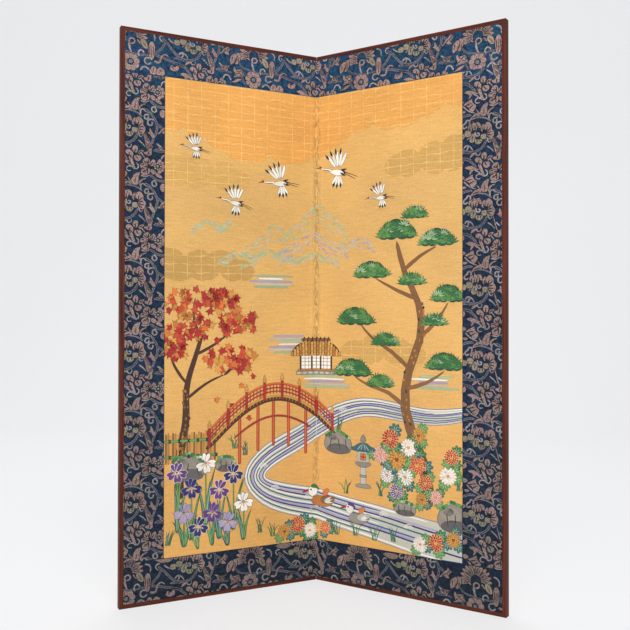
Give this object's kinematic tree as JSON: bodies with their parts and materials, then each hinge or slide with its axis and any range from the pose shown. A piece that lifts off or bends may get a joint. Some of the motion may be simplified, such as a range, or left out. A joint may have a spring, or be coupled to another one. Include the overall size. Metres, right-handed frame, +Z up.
{
  "type": "byobu folding screen",
  "caption": "Table-top folding screen of hinged panels: woven picture in a brocade border over a half-lapped lattice core, edged in thin stained wood.",
  "frame": {"origin": "centre of the standing screen's footprint, on the surface that it stands on", "axes": "+Z up along the fold, +X to the viewer's right across the two panels, +Y away from the viewer towards the fold's back"},
  "size_m": [0.4032, 0.119, 0.606],
  "materials": {
    "core_wood": "planed, unfinished",
    "lining_paper": "layered paper",
    "back_paper": "plain handmade paper",
    "hinge_tape": "paper-backed cloth tape",
    "picture_brocade": "gold-ground woven brocade",
    "border_brocade": "navy woven brocade",
    "edging_wood": "matte reddish-brown stain",
    "pin_steel": "plain drawn wire"
  },
  "bodies": {
    "left_panel": {"left_fold_stile": "core_wood", "left_outer_stile": "core_wood", "left_top_rail": "core_wood", "left_bottom_rail": "core_wood", "left_upright_slats": "core_wood", "left_cross_slats": "core_wood", "left_front_lining": "lining_paper", "left_back_lining": "lining_paper", "left_back_paper": "back_paper", "left_fold_edge_paper": "back_paper", "left_hinge_tape": "hinge_tape", "left_picture": "picture_brocade", "left_top_border": "border_brocade", "left_bottom_border": "border_brocade", "left_side_border": "border_brocade", "left_top_edging": "edging_wood", "left_bottom_edging": "edging_wood", "left_outer_edging": "edging_wood", "left_edging_pins": "pin_steel"},
    "right_panel": {"right_fold_stile": "core_wood", "right_outer_stile": "core_wood", "right_top_rail": "core_wood", "right_bottom_rail": "core_wood", "right_upright_slats": "core_wood", "right_cross_slats": "core_wood", "right_front_lining": "lining_paper", "right_back_lining": "lining_paper", "right_back_paper": "back_paper", "right_fold_edge_paper": "back_paper", "right_hinge_tape": "hinge_tape", "right_picture": "picture_brocade", "right_top_border": "border_brocade", "right_bottom_border": "border_brocade", "right_side_border": "border_brocade", "right_top_edging": "edging_wood", "right_bottom_edging": "edging_wood", "right_outer_edging": "edging_wood", "right_edging_pins": "pin_steel"}
  },
  "joints": [
    {"name": "fold", "type": "hinge", "parent": "left_panel", "child": "right_panel", "pos_m": [0, 0.05214, 0], "axis": [0, 0, 1], "range_deg": [-121, 59]}
  ]
}
